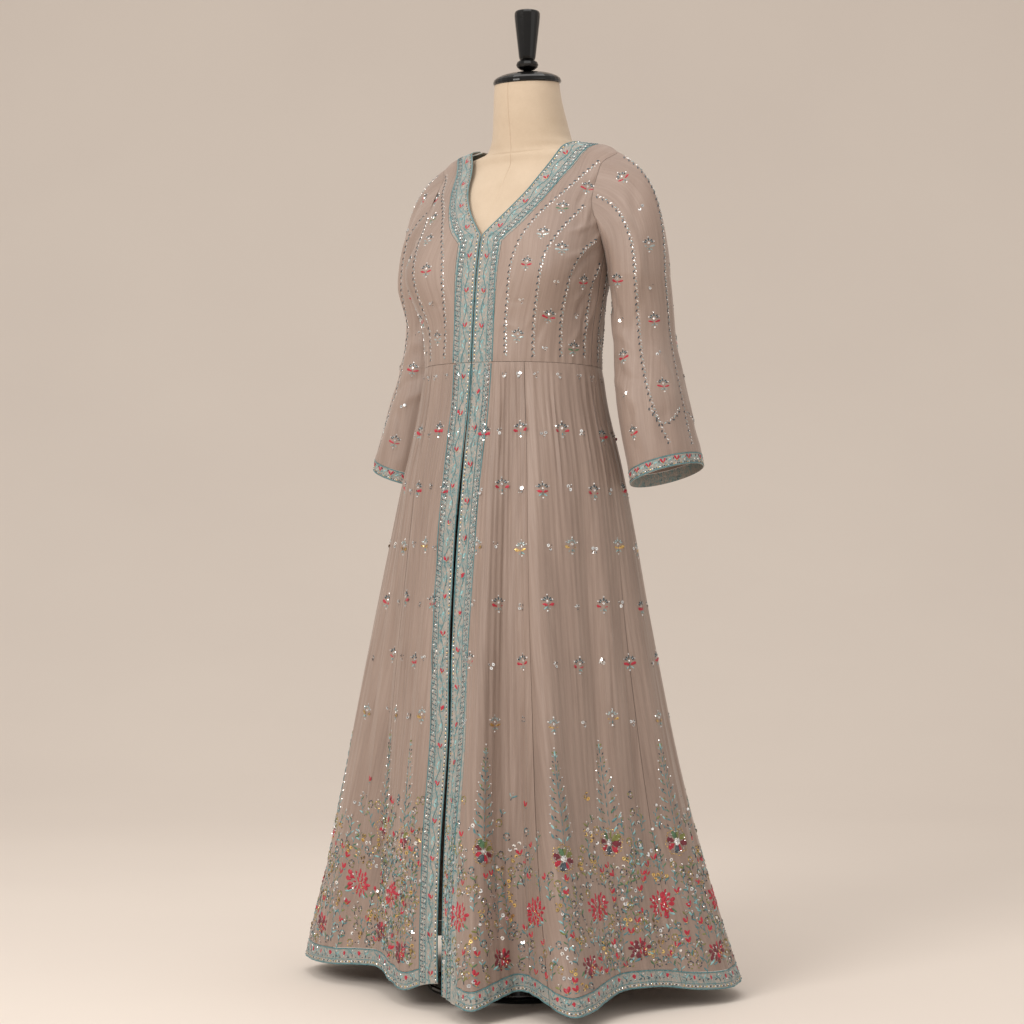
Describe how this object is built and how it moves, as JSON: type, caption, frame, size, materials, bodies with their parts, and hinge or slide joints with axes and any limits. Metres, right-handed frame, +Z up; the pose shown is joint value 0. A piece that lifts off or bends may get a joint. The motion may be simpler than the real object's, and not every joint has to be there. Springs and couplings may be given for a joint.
{
  "type": "anarkali gown on a dress form",
  "caption": "Floor-length anarkali gown with V neck, long sleeves, flared panelled skirt and embroidered edges, worn by a limbless dress form on a hidden stand.",
  "frame": {"origin": "centre of the stand base's underside, on the floor under the pole", "axes": "+Z up, the gown's front faces -Y, +X is the wearer's left"},
  "size_m": [0.7256, 0.6044, 1.5766],
  "materials": {
    "cloth": "soft silk tissue with a low sheen",
    "strip": "densely embroidered strip with beads",
    "cover": "plain cotton cover, matt",
    "lacquer": "gloss black lacquer",
    "steel": "satin tube"
  },
  "bodies": {
    "root": {"bodice_front_left": "cloth", "bodice_front_right": "cloth", "bodice_back": "cloth", "back_neck_strip": "strip", "front_strip_left": "strip", "front_strip_right": "strip", "sleeve_left": "cloth", "sleeve_right": "cloth", "cuff_strip_left": "strip", "cuff_strip_right": "strip", "skirt_strip_left": "strip", "skirt_strip_right": "strip", "kali_front_left": "cloth", "kali_side_front_left": "cloth", "kali_side_back_left": "cloth", "kali_back_left": "cloth", "kali_back_right": "cloth", "kali_side_back_right": "cloth", "kali_side_front_right": "cloth", "kali_front_right": "cloth", "hem_strip_front_left": "strip", "hem_strip_side_front_left": "strip", "hem_strip_side_back_left": "strip", "hem_strip_back_left": "strip", "hem_strip_back_right": "strip", "hem_strip_side_back_right": "strip", "hem_strip_side_front_right": "strip", "hem_strip_front_right": "strip", "form_body": "cover", "neck_cap": "lacquer", "finial": "lacquer", "stand_pole": "steel", "stand_base": "lacquer"}
  },
  "joints": []
}
